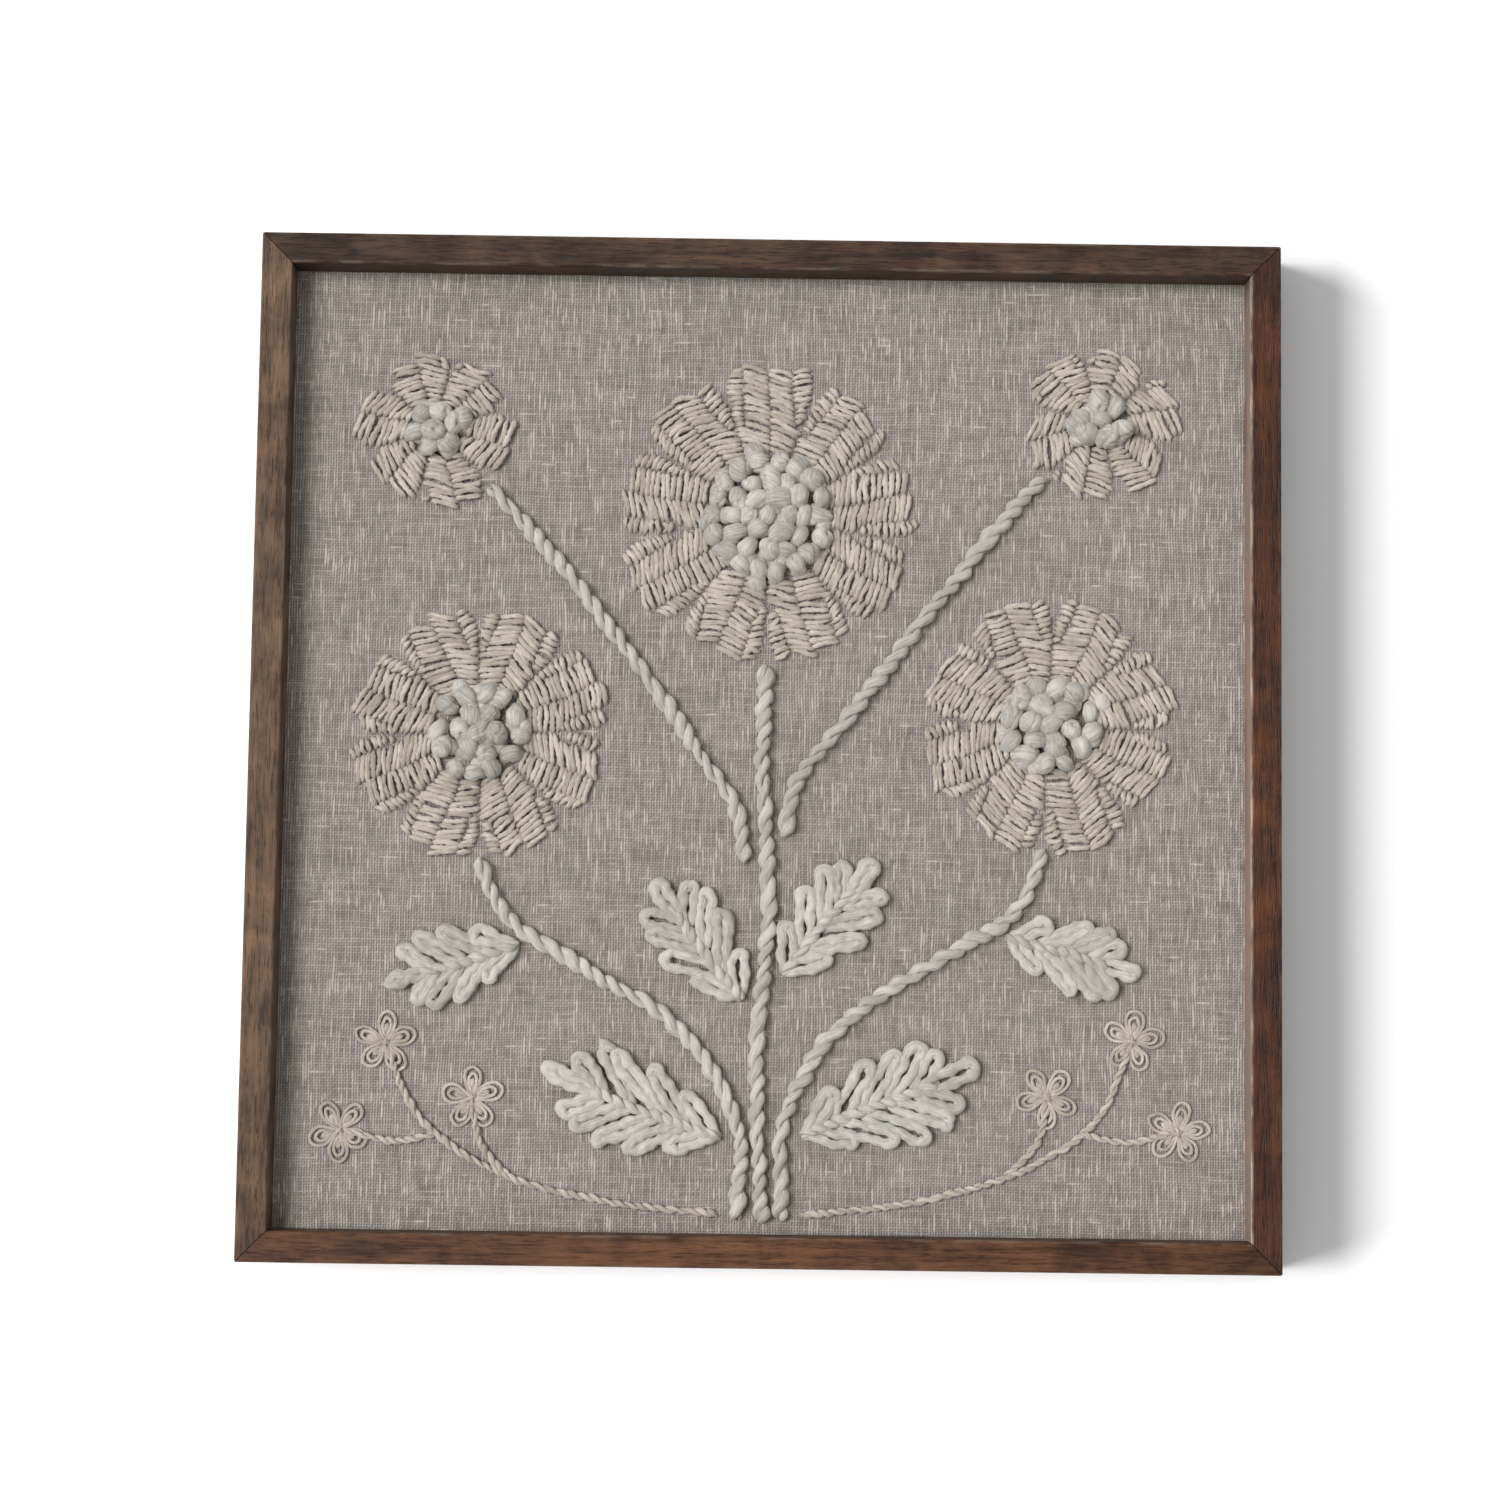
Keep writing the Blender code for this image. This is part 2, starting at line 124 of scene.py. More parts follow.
# name: middle x and y (mm), turn (degrees) of each floret
FLORETS = {
    "left": ((-112, -137, 20), (-146, -116, 90), (-163, -150, 50)),
    "right": ((111, -134, 50), (144, -112, 80), (162, -147, 10)),
}
FLORET_REACH = 13.5 * MM

# Ropes of yarn: width, height, length of a turn
STEM_ROPE = (6.7 * MM, 4.6 * MM, 2 * STEM_LOBE)
RIB_ROPE = (4.4 * MM, 4.9 * MM, 10 * MM)
SPRIG_ROPE = (3.3 * MM, 2.3 * MM, 9 * MM)
# Single strands: radius
STITCH_YARN = 1.06 * MM
BOBBLE = 4.4 * MM
LEAF_YARN = 2.1 * MM
FLORET_YARN = 0.68 * MM
FLORET_KNOT = 0.62 * MM
HAIR = 0.042 * MM

STITCH_PITCH = 2.2 * MM
LINEN_CELLS = 130
THREAD_PITCH = 1.06 * MM

# Tones, linear
LINEN_DARK, LINEN_LIGHT = (0.210, 0.182, 0.162, 1), (0.615, 0.554, 0.508, 1)
LINEN_CAST = (0.975, 0.985, 0.955, 1)
WOOD_CLOUD = (0.55, 0.50, 0.48, 1)
# Painted light: a pale taupe for the right rail's inner wall, which faces the light
WOOD_PAINTED_LIT_WALL = (0.114, 0.091, 0.072, 1)
WOOD_WORN = (0.30, 0.235, 0.18, 1)
BOARD_DARK, BOARD_LIGHT = (0.16, 0.10, 0.06, 1), (0.34, 0.235, 0.15, 1)
GLUE_DARK, GLUE_LIGHT = (0.012, 0.008, 0.005, 1), (0.035, 0.022, 0.014, 1)
PAPER = (0.86, 0.86, 0.86, 1)

# Camera, fitted to the frame's corners in the photo: lens and sensor (mm), place, turn (degrees)
LENS, SENSOR = 68.79, 36
EYE = (-0.0087, -0.0966, 1.1384)
EYE_TURN = (4.762, -0.324, 0.774)
FLOOR_SIDE = 60

# name: height, bearing, spread (degrees), power, only (INCLUDE) or all but (EXCLUDE) that thing
LIGHTS = {
    "key": (60, -100, 28, 2.25, "EXCLUDE", "floor"),
    "floor_low": (23, -90, 42, 9.2, "INCLUDE", "floor"),
    "floor_high": (90, 0, 130, 0.45, "INCLUDE", "floor"),
    "wall_low": (4, -95, 20, 9.0, "INCLUDE", "rail_right"),
}
WORLD = 0.38


# Yarn: closed tubes gathered into one mesh, with a tint for each strand and a map along it

def smooth_line(points, step):
    """Points about step apart on a smooth curve through the given ones."""
    knots = [np.array(p, float) for p in points]
    knots = [2 * knots[0] - knots[1]] + knots + [2 * knots[-1] - knots[-2]]
    fine = []
    for p0, p1, p2, p3 in zip(knots, knots[1:], knots[2:], knots[3:]):
        for t in np.arange(0, 1, 1 / 40):
            a = 2 * p1 + (p2 - p0) * t
            b = (2 * p0 - 5 * p1 + 4 * p2 - p3) * t**2 + (3 * p1 - p0 - 3 * p2 + p3) * t**3
            fine.append((a + b) / 2)
    fine = np.array(fine + [knots[-2]])
    along = np.concatenate([[0], np.cumsum(np.linalg.norm(np.diff(fine, axis=0), axis=1))])
    wanted = np.linspace(0, along[-1], max(3, round(along[-1] / step)) + 1)
    line = np.stack([np.interp(wanted, along, fine[:, k]) for k in range(fine.shape[1])], axis=1)
    return line, wanted


def unit(vectors):
    return vectors / np.maximum(np.linalg.norm(vectors, axis=-1, keepdims=True), 1e-12)


def fade(distance, run):
    """1 at no distance, and next to nothing past two runs."""
    return np.exp(-((distance / run) ** 2))


class Yarn:
    """Closed tubes and puffs that become one piece."""

    def __init__(self):
        self.verts, self.faces, self.maps, self.tints = [], [], [], []
        self.count = 0

    def add(self, verts, faces, maps, tint):
        """maps has one place along and round the yarn for each corner of each face."""
        self.verts.append(verts)
        self.faces += [tuple(int(i) + self.count for i in face) for face in faces]
        self.maps.append(maps)
        self.tints.append(np.full(len(verts), tint))
        self.count += len(verts)

    def tube(self, line, radius, tint, sides=8, plies=2, depth=0.16, lay=7 * MM, flat=0.9, phase=0):
        """A yarn of plies that turn once in each lay, round ended, along a line of points."""
        count = len(line)
        ahead = unit(np.gradient(line, axis=0))
        up = np.zeros((count, 3))
        start = np.cross(ahead[0], (0.0, 0.0, 1.0))
        side = start if np.linalg.norm(start) > 0.1 else np.cross(ahead[0], (1.0, 0.0, 0.0))
        for i in range(count):
            side = unit(side - ahead[i] * (side @ ahead[i]))
            up[i] = np.cross(side, ahead[i])
            if i == 0:
                first = side
        sides_at = unit(np.cross(ahead, up))
        if first @ sides_at[0] < 0:
            sides_at = -sides_at
        along = np.concatenate([[0], np.cumsum(np.linalg.norm(np.diff(line, axis=0), axis=1))])
        radius = np.broadcast_to(radius, (count,))
        turn = np.arange(sides) * math.tau / sides
        spin = math.tau * along[:, None] / lay + phase
        out = radius[:, None] * (1 + depth * np.cos(plies * (turn[None, :] - spin)))
        rings = (
            line[:, None, :]
            + out[..., None] * np.cos(turn)[None, :, None] * sides_at[:, None, :]
            + flat * out[..., None] * np.sin(turn)[None, :, None] * up[:, None, :]
        )
        tips = [line[0] - ahead[0] * radius[0] * 0.7, line[-1] + ahead[-1] * radius[-1] * 0.7]
        verts = np.concatenate([rings.reshape(-1, 3), tips])
        i, k = np.meshgrid(np.arange(count - 1), np.arange(sides), indexing="ij")
        n = (k + 1) % sides
        near, far = i * sides, (i + 1) * sides
        quads = np.stack([near + k, near + n, far + n, far + k], -1).reshape(-1, 4)
        low, high, last_ring = count * sides, count * sides + 1, (count - 1) * sides
        caps = [(low, (k + 1) % sides, k) for k in range(sides)]
        caps += [(high, last_ring + k, last_ring + (k + 1) % sides) for k in range(sides)]
        girth = np.arange(sides + 1) * radius.mean() * math.tau / sides
        shift = tint * 0.37
        u = np.stack([girth[k], girth[k + 1], girth[k + 1], girth[k]], -1).reshape(-1)
        v = np.stack([along[i], along[i], along[i + 1], along[i + 1]], -1).reshape(-1)
        maps = np.stack([u, v + shift], -1)
        ends = []
        for k in range(sides):
            ends += [(girth[k], shift - radius[0]), (girth[k + 1], shift), (girth[k], shift)]
        for k in range(sides):
            last = along[-1] + shift
            ends += [(girth[k], last + radius[-1]), (girth[k], last), (girth[k + 1], last)]
        corner = rings[0, 0]
        facing = np.cross(rings[0, 1] - corner, rings[1, 0] - corner)
        if facing @ (corner - line[0]) < 0:
            quads = quads[:, ::-1]
            maps = maps.reshape(-1, 4, 2)[:, ::-1].reshape(-1, 2)
            caps = [face[::-1] for face in caps]
            ends = [spot for n in range(0, len(ends), 3) for spot in ends[n : n + 3][::-1]]
        self.add(verts, list(quads) + caps, np.concatenate([maps, np.array(ends)]), tint)

    def piece(self, name, material, slot, *nodes):
        """Make the finished piece, which stands for the named nodes."""
        mesh = bpy.data.meshes.new(name)
        mesh.from_pydata(np.concatenate(self.verts).tolist(), [], self.faces)
        mesh.shade_smooth()
        yarn_map = mesh.uv_layers.new(name="yarn")
        yarn_map.data.foreach_set("uv", np.concatenate(self.maps).astype(np.float32).ravel())
        tint = mesh.attributes.new("tint", "FLOAT", "POINT")
        tint.data.foreach_set("value", np.concatenate(self.tints).astype(np.float32))
        mesh.materials.append(material)
        obj = bpy.data.objects.new(name, mesh)
        bpy.context.scene.collection.objects.link(obj)
        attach(obj, "root")
        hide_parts(*nodes)


def placed(points, x, y, turn):
    """Points of a motif, turned and moved to its place on the linen."""
    points = np.array(points, float)
    c, s = math.cos(turn), math.sin(turn)
    moved = points.copy()
    moved[:, 0] = x * MM + c * points[:, 0] - s * points[:, 1]
    moved[:, 1] = y * MM + s * points[:, 0] + c * points[:, 1]
    return moved


# Materials

class Graph:
    """A material whose nodes are added a call at a time."""

    def __init__(self, name, roughness, **sockets):
        self.material = bpy.data.materials.new(name)
        self.material.use_nodes = True
        self.tree = self.material.node_tree
        self.shader = self.tree.nodes["Principled BSDF"]
        self.shader.inputs["Roughness"].default_value = roughness
        for socket, value in sockets.items():
            self.shader.inputs[socket.replace("_", " ")].default_value = value

    def node(self, kind, inputs, **settings):
        made = self.tree.nodes.new("ShaderNode" + kind)
        for key, value in settings.items():
            setattr(made, key, value)
        for key, value in inputs.items():
            socket = made.inputs[key]
            if isinstance(value, bpy.types.NodeSocket):
                self.tree.links.new(value, socket)
            else:
                socket.default_value = value
        return made

    def math(self, operation, a, b=0.0, clamp=False):
        return self.node("Math", {0: a, 1: b}, operation=operation, use_clamp=clamp).outputs[0]

    def span(self, value, low, high, to_low=0.0, to_high=1.0):
        """value moved from low..high to to_low..to_high, and kept there."""
        inputs = {"Value": value, "From Min": low, "From Max": high}
        inputs |= {"To Min": to_low, "To Max": to_high}
        return self.node("MapRange", inputs).outputs[0]

    def noise(self, vector, scale, detail=2.0, roughness=0.5, distortion=0.0):
        inputs = {"Vector": vector, "Scale": scale, "Detail": detail, "Roughness": roughness}
        inputs["Distortion"] = distortion
        return self.node("TexNoise", inputs).outputs[0]

    def stretch(self, vector, scale, shift=(0, 0, 0)):
        inputs = {"Vector": vector, "Scale": scale, "Location": shift}
        return self.node("Mapping", inputs).outputs[0]

    def mix(self, share, a, b, blend="MIX"):
        inputs = {0: share, 6: a, 7: b}
        return self.node("Mix", inputs, data_type="RGBA", blend_type=blend).outputs[2]

    def bump(self, height, distance, strength):
        inputs = {"Height": height, "Distance": distance, "Strength": strength}
        return self.node("Bump", inputs).outputs[0]

    def paint(self, colour=None, normal=None, roughness=None):
        for socket, value in (("Base Color", colour), ("Normal", normal), ("Roughness", roughness)):
            if value is not None:
                self.tree.links.new(value, self.shader.inputs[socket])
        return self.material


def wool(name, light, dark, fibre, soft):
    """Spun wool: fine fibres along the yarn, uneven from strand to strand."""
    g = Graph(
        name, 0.85, Specular_IOR_Level=0.15, Sheen_Weight=0.35, Sheen_Roughness=0.5,
        Subsurface_Weight=soft, Subsurface_Radius=(0.003, 0.0026, 0.0022), Subsurface_Scale=1.0,
    )
    yarn = g.node("UVMap", {}, uv_map="yarn").outputs[0]
    place = g.node("TexCoord", {}).outputs["Object"]
    tint = g.node("Attribute", {}, attribute_name="tint").outputs["Fac"]
    streaks = g.noise(g.stretch(yarn, (fibre, fibre / 11, 1)), 1.0, 3.0, 0.6, 0.5)
    hairs = g.noise(g.stretch(yarn, (fibre * 2.6, fibre / 6, 1), (3, 7, 0)), 1.0, 3.0, 0.65, 0.8)
    patches = g.noise(place, 90.0, 3.0, 0.6)
    share = g.math("ADD", g.span(tint, 0, 1, -0.28, 0.28), g.span(patches, 0.3, 0.7, 0.1, 0.7))
    share = g.math("ADD", share, g.span(streaks, 0.3, 0.7, -0.45, 0.6))
    share = g.math("ADD", share, g.span(hairs, 0.35, 0.65, -0.25, 0.25), clamp=True)
    colour = g.mix(share, (*dark, 1), (*light, 1))
    height = g.math("ADD", streaks, g.math("MULTIPLY", hairs, 0.7))
    return g.paint(colour, g.bump(height, 0.55 * MM, 0.9))


def linen_material():
    """Plain weave of uneven threads, with short slubs mostly in the upright ones, and painted shade
    between the threads.
    """
    g = Graph("linen", 0.9, Specular_IOR_Level=0.12, Sheen_Weight=0.2, Sheen_Roughness=0.5)
    place = g.node("TexCoord", {}).outputs["Object"]
    wander = g.node("TexNoise", {"Vector": place, "Scale": 30.0, "Detail": 2.0}).outputs["Color"]
    shift = g.node("VectorMath", {0: wander, 1: (0.5, 0.5, 0.5)}, operation="SUBTRACT").outputs[0]
    shift = g.node("VectorMath", {0: shift, 3: 2.2 * MM}, operation="SCALE").outputs[0]
    bent = g.node("VectorMath", {0: place, 1: shift}, operation="ADD").outputs[0]
    parts = g.node("SeparateXYZ", {0: bent})
    across = g.math("MULTIPLY", parts.outputs[0], 1 / THREAD_PITCH)
    down = g.math("MULTIPLY", parts.outputs[1], 1 / THREAD_PITCH)

    def threads(over, along, seed, tone_run, slub_run, rare):
        """Height and tone of the threads that run one way, by how far over and along them."""
        index = g.math("FLOOR", over)
        inside = g.math("SUBTRACT", g.math("FRACT", over), 0.5)
        key = g.node("CombineXYZ", {0: index, 1: along, 2: seed}).outputs[0]
        tone = g.noise(g.stretch(key, (17.3, 1 / tone_run, 1)), 1.0, 2.0, 0.55)
        slub = g.noise(g.stretch(key, (31.7, 1 / slub_run, 1), (5, 9, 3)), 1.0, 1.0, 0.5)
        slub = g.span(slub, rare, rare + 0.10)
        width = g.math("ADD", g.span(tone, 0.3, 0.7, 0.62, 1.12), g.math("MULTIPLY", slub, 0.15))
        edge = g.math("DIVIDE", g.math("ABSOLUTE", inside), width)
        crown = g.math("SUBTRACT", 1.0, g.math("MULTIPLY", g.math("MULTIPLY", edge, edge), 4.0))
        over_under = g.math("MULTIPLY", g.math("ADD", along, index), math.pi)
        weave = g.span(g.math("COSINE", over_under), -1, 1, 0.7, 1.0)
        height = g.math("MULTIPLY", g.math("MAXIMUM", crown, 0.0), weave)
        height = g.math("MULTIPLY", height, g.span(tone, 0.3, 0.7, 0.6, 1.2))
        height = g.math("ADD", height, g.math("MULTIPLY", slub, 1.1))
        return height, tone, slub

    warp, warp_tone, warp_slub = threads(across, down, 0.0, 12.0, 10.5, 0.60)
    weft, weft_tone, weft_slub = threads(down, g.math("ADD", across, 1.0), 50.0, 16.0, 12.0, 0.67)
    weft = g.math("MULTIPLY", weft, 0.74)
    height = g.math("MAXIMUM", warp, weft)
    warp_tone = g.span(warp_tone, 0.3, 0.7, -0.6, 0.6)
    tone = g.math("ADD", warp_tone, g.span(weft_tone, 0.3, 0.7, -0.3, 0.3))
    slubs = g.math("ADD", warp_slub, g.math("MULTIPLY", weft_slub, 0.5))
    # painted shade and highlight: the colour is darker where the threads lie low, on their sides
    # and between them, and lighter on their raised crowns and slubs, with random tone from thread
    # to thread
    share = g.math("ADD", g.span(height, 0.15, 1.1, 0.15, 0.80), g.math("MULTIPLY", tone, 0.22))
    share = g.math("ADD", share, g.math("MULTIPLY", slubs, 0.10), clamp=True)
    colour = g.mix(share, LINEN_DARK, LINEN_LIGHT)
    cast = g.noise(place, 11.0, 3.0, 0.55)
    colour = g.mix(g.span(cast, 0.4, 0.6, 0.0, 0.8), colour, LINEN_CAST, "MULTIPLY")
    return g.paint(colour, g.bump(height, 0.55 * MM, 1.0))


def wood_material(name, light, dark, along_x, seed, painted_wall_light):
    """Stained hardwood: grain, pores and blotches along the rail, with worn arrises, and painted
    light on the inner wall where a share is given.
    """
    g = Graph(name, 0.5, Specular_IOR_Level=0.25)
    place = g.node("TexCoord", {}).outputs["Object"]
    across = 14.0
    scale = (1.0, across, across) if along_x else (across, 1.0, across)
    grain_place = g.stretch(place, scale, (seed, seed * 2.3, seed * 0.7))
    grain = g.noise(grain_place, 26.0, 6.0, 0.62, 0.6)
    pores = g.noise(grain_place, 120.0, 3.0, 0.55, 0.2)
    blotch = g.noise(g.stretch(place, (1, 1, 1), (seed, 0, 0)), 55.0, 4.0, 0.6, 0.4)
    streaks = g.span(grain, 0.3, 0.7, -0.05, 0.75)
    share = g.math("ADD", streaks, g.span(blotch, 0.35, 0.68, -0.2, 0.45))
    share = g.math("SUBTRACT", share, g.span(pores, 0.54, 0.66, 0.0, 0.5), clamp=True)
    colour = g.mix(share, (*dark, 1), (*light, 1))
    cloud = g.noise(g.stretch(place, (1, 1, 1), (seed * 3.1, 0, 0)), 8.0, 2.0, 0.5)
    colour = g.mix(g.span(cloud, 0.38, 0.62, 0.0, 0.55), colour, WOOD_CLOUD, "MULTIPLY")
    parts = g.node("SeparateXYZ", {0: place})
    over = g.math("ABSOLUTE", parts.outputs[1 if along_x else 0])
    from_rim = g.math("SUBTRACT", over, SIDE / 2 - FACE)
    from_edge = g.math("SUBTRACT", over, SIDE / 2)
    # painted light: the inner wall is mixed toward a pale taupe that stands in for the raking light
    # falling on it
    if painted_wall_light:
        colour = g.mix(g.span(from_rim, 0.05 * MM, 0.35 * MM, painted_wall_light, 0.0), colour, WOOD_PAINTED_LIT_WALL)
    near_inner = g.span(g.math("ABSOLUTE", from_rim), 0.2 * MM, 1.3 * MM, 1.0, 0.0)
    near_outer = g.span(g.math("ABSOLUTE", from_edge), 0.3 * MM, 1.2 * MM, 0.6, 0.0)
    high = g.span(parts.outputs[2], DEPTH - 2.2 * MM, DEPTH - 0.8 * MM)
    rub = (1.0, 4.0, 4.0) if along_x else (4.0, 1.0, 4.0)
    scuff = g.span(g.noise(g.stretch(place, rub), 70.0, 4.0, 0.6), 0.44, 0.62)
    arris = g.math("MULTIPLY", g.math("MAXIMUM", near_inner, near_outer), high)
    wear = g.math("MULTIPLY", arris, scuff)
    colour = g.mix(g.math("MULTIPLY", wear, 0.5), colour, WOOD_WORN)
    height = g.math("SUBTRACT", grain, g.math("MULTIPLY", g.span(pores, 0.5, 0.7), 0.7))
    gloss = g.span(grain, 0.3, 0.7, 0.42, 0.62)
    return g.paint(colour, g.bump(height, 0.25 * MM, 0.6), gloss)


def board_material():
    """Hardboard: pressed brown fibre."""
    g = Graph("hardboard", 0.8, Specular_IOR_Level=0.2)
    place = g.node("TexCoord", {}).outputs["Object"]
    fibre = g.noise(place, 900.0, 4.0, 0.65)
    cloud = g.noise(place, 35.0, 3.0, 0.6)
    share = g.math("ADD", g.span(fibre, 0.3, 0.7, 0.0, 0.6), g.span(cloud, 0.3, 0.7, 0.0, 0.4))
    colour = g.mix(share, BOARD_DARK, BOARD_LIGHT)
    return g.paint(colour, g.bump(fibre, 0.2 * MM, 0.5))


# Flowers

def petal_limit(radius, longest):
    """How far across a petal its edge lies at a radius: 1 in the valleys, 0 past its end."""
    rise = (radius / longest - PETAL_VALLEY) / (1 - PETAL_VALLEY)
    return (1 - min(1, max(0, rise)) ** 2) ** (1 / PETAL_BLUNT) if rise < 1 else 0.0


def stitch(yarn, start, end, rng, radius, x, y, turn):
    """One stitch from start to end, arched over the linen, lumpy and a little crooked."""
    start, end = np.array(start), np.array(end)
    length = np.linalg.norm(end - start)
    count = max(7, round(length / (0.95 * MM)))
    share = 0.5 - 0.5 * np.cos(np.linspace(0, math.pi, count))
    share = 0.5 * share + 0.5 * np.linspace(0, 1, count)
    aside = np.array([-(end - start)[1], (end - start)[0]]) / length
    bow = rng.normal(0, 0.30 * MM) * np.sin(math.pi * share)
    bow += rng.normal(0, 0.24 * MM) * np.sin(math.tau * share + rng.uniform(0, math.tau))
    flat = start + (end - start) * share[:, None] + aside * bow[:, None]
    from_end = np.minimum(share, 1 - share) * length
    top = FOOT + 1.2 * MM + rng.normal(0, 0.22 * MM)
    z = top + 0.35 * MM * np.sin(math.pi * share) - 1.6 * MM * fade(from_end, 1.05 * MM)
    lumps = 1 + 0.10 * np.sin(share * length / (1.15 * MM) + rng.uniform(0, math.tau))
    lumps = lumps + 0.07 * np.sin(share * length / (0.62 * MM) + rng.uniform(0, math.tau))
    fat = radius * rng.uniform(0.88, 1.14) * lumps * (1 - 0.38 * fade(from_end, 0.9 * MM))
    line = placed(np.column_stack([flat, z]), x, y, turn)
    yarn.tube(line, fat, rng.random(), lay=6.0 * MM, depth=0.2, phase=rng.uniform(0, 6))


def work_petals(name, flower, material):
    """Each petal is two columns of slanted stitches up its middle and one down each side."""
    x, y, reach, heart, petals, turn = flower
    reach, heart = reach * MM, heart * MM
    step = math.tau / petals
    wander, rng = random.Random(name), np.random.default_rng(len(name) + int(reach * 1e4))
    yarn = Yarn()
    feet = []
    middle = min(COLUMN_WIDE, 0.62 * step / 2 * reach)
    for petal in range(petals):
        longest = reach * wander.uniform(PETAL_SHORTEST, 1)
        lean = rng.choice((-1, 1))
        for column in (-2, -1, 1, 2):
            side, outer = math.copysign(1, column), abs(column) == 2
            lean = -lean if rng.random() < 0.8 else lean
            slant = lean * math.tan(math.radians(rng.uniform(8, 23)))
            end = longest * (rng.uniform(0.93, 0.985) if outer else rng.uniform(0.95, 1.0))
            waves = rng.uniform(0, math.tau)
            radius = heart - 1.4 * MM + rng.uniform(0, STITCH_PITCH)
            while radius < end:
                half = step / 2 * radius
                edge = petal_limit(radius, longest) * half - 0.25 * MM
                seam = middle + 0.5 * MM * math.sin(radius / (6 * MM) + waves)
                if half - seam < 3 * MM:
                    seam = half - 0.25 * MM
                spine = 0.6 * MM * math.sin(radius / (8 * MM) + petal)
                near, far = (seam, edge) if outer else (spine * side, min(seam, edge))
                if far - near > 2.4 * MM:
                    near -= rng.uniform(-0.2, 0.55) * MM
                    far += rng.uniform(-0.45, 0.45) * MM
                    tilt = slant * (far - near) / 2 * rng.uniform(0.75, 1.25)
                    tilt += rng.normal(0, 0.2 * MM)
                    ends = []
                    for out, over in ((radius - tilt, near * side), (radius + tilt, far * side)):
                        angle = petal * step + over / radius
                        ends.append((out * math.cos(angle), out * math.sin(angle)))
                    stitch(yarn, *ends, rng, STITCH_YARN, x, y, math.radians(turn))
                    feet.append((*ends[1], FOOT + 1.3 * MM))
                radius += STITCH_PITCH * rng.uniform(0.86, 1.12)
    feet = placed(feet, x, y, math.radians(turn))
    away = unit(feet - (x * MM, y * MM, FOOT))
    hairs(yarn, feet, away + (0, 0, 0.4), rng, 2 * len(feet), 2.0 * MM)
    yarn.piece(f"worked_petals_{name}", material, "fine_wool", f"petals_{name}")


def ball(fineness):
    """A round mesh: places, faces."""
    bm = bmesh.new()
    bmesh.ops.create_icosphere(bm, subdivisions=fineness, radius=1)
    places = np.array([v.co for v in bm.verts])
    faces = [[v.index for v in f.verts] for f in bm.faces]
    bm.free()
    return unit(places), np.array(faces)


def dome(radius, heart):
    return KNOT_LOW + KNOT_RISE * (1 - (radius / heart) ** 2)


def puff(yarn, middle, size, rng, shape):
    """A fat knot of roving: a lump with folds where the strand tucks under."""
    places, faces = shape
    swell = np.ones(len(places))
    for _ in range(5):
        wave = unit(rng.normal(size=3)) * rng.uniform(1.2, 3.4)
        swell += 0.05 * np.sin(places @ wave + rng.uniform(0, math.tau))
    kind = rng.random()
    tilt = unit(np.array([rng.normal(0, 0.5), rng.normal(0, 0.5), 1.0]))
    if kind < 0.3:
        away = np.arccos(np.clip(places @ tilt, -1, 1))
        swell -= 0.42 * fade(away, 0.30)
        first, second = unit(np.cross(tilt, (1, 0.2, 0))), unit(np.cross(tilt, (0, 1, 0)))
        swirl = np.arctan2(places @ first, places @ second)
        swell -= 0.13 * fade((swirl + 1.6 * away) % math.tau - math.pi, 0.28) * (away > 0.3)
    else:
        for _ in range(2 if kind < 0.6 else 1):
            plane = unit(np.array([rng.normal(), rng.normal(), rng.normal(0, 0.4)]))
            bend = 0.25 * np.sin(3 * places @ unit(rng.normal(size=3)) + rng.uniform(0, 6))
            swell -= 0.17 * fade(places @ plane + bend - rng.uniform(0.1, 0.5), 0.11)
    angle = rng.uniform(0, math.tau)
    c, s = math.cos(angle), math.sin(angle)
    long = size * rng.uniform(0.98, 1.22)
    short = size * rng.uniform(0.86, 1.0)
    tall = size * rng.uniform(0.92, 1.08)
    px, py, pz = (places * swell[:, None] * (long, short, tall)).T
    lump = np.column_stack([c * px - s * py, s * px + c * py, pz])
    axis = unit(np.cross(tilt, rng.normal(size=3)))
    other = unit(np.cross(axis, tilt))
    third = np.cross(axis, other)
    v = np.arccos(np.clip(places @ axis, -1, 1)) * size
    u = np.arctan2(places @ third, places @ other) * size
    maps = np.column_stack([v, u])[faces]
    wrap = np.abs(maps[:, :, 1].max(1) - maps[:, :, 1].min(1)) > math.pi * size
    across = maps[wrap, :, 1]
    maps[wrap, :, 1] = np.where(across < 0, across + math.tau * size, across)
    tint = rng.random()
    yarn.add(middle + lump, faces, maps.reshape(-1, 2) + tint, tint)


def bean(yarn, middle, size, rng):
    """A short fat loop of roving that rises from the linen and goes back in."""
    angle = rng.uniform(0, math.tau)
    ahead = np.array([math.cos(angle), math.sin(angle), 0.0])
    aside = np.array([-math.sin(angle), math.cos(angle), 0.0])
    share = np.linspace(0, 1, 17)
    arch = np.sin(math.pi * (0.06 + 0.88 * share))
    span = size * rng.uniform(0.62, 0.86)
    bow = rng.normal(0, 0.35 * MM) * np.sin(math.pi * share)
    thick = size * rng.uniform(0.70, 0.80)
    top = size * 0.93 - thick * 0.9
    line = middle + ahead * (2 * share - 1)[:, None] * span + aside * bow[:, None]
    line = line + np.array([0, 0, 1.0]) * ((arch - 1) * size * 1.1 + top)[:, None]
    fat = thick * (0.72 + 0.28 * arch) * (1 + 0.05 * np.sin(share * 9 + rng.uniform(0, 6)))
    tint, lay, phase = rng.random(), rng.choice((-1, 1)) * 16 * MM, rng.uniform(0, 6)
    yarn.tube(line, fat, tint, sides=20, plies=3, depth=0.055, lay=lay, phase=phase)


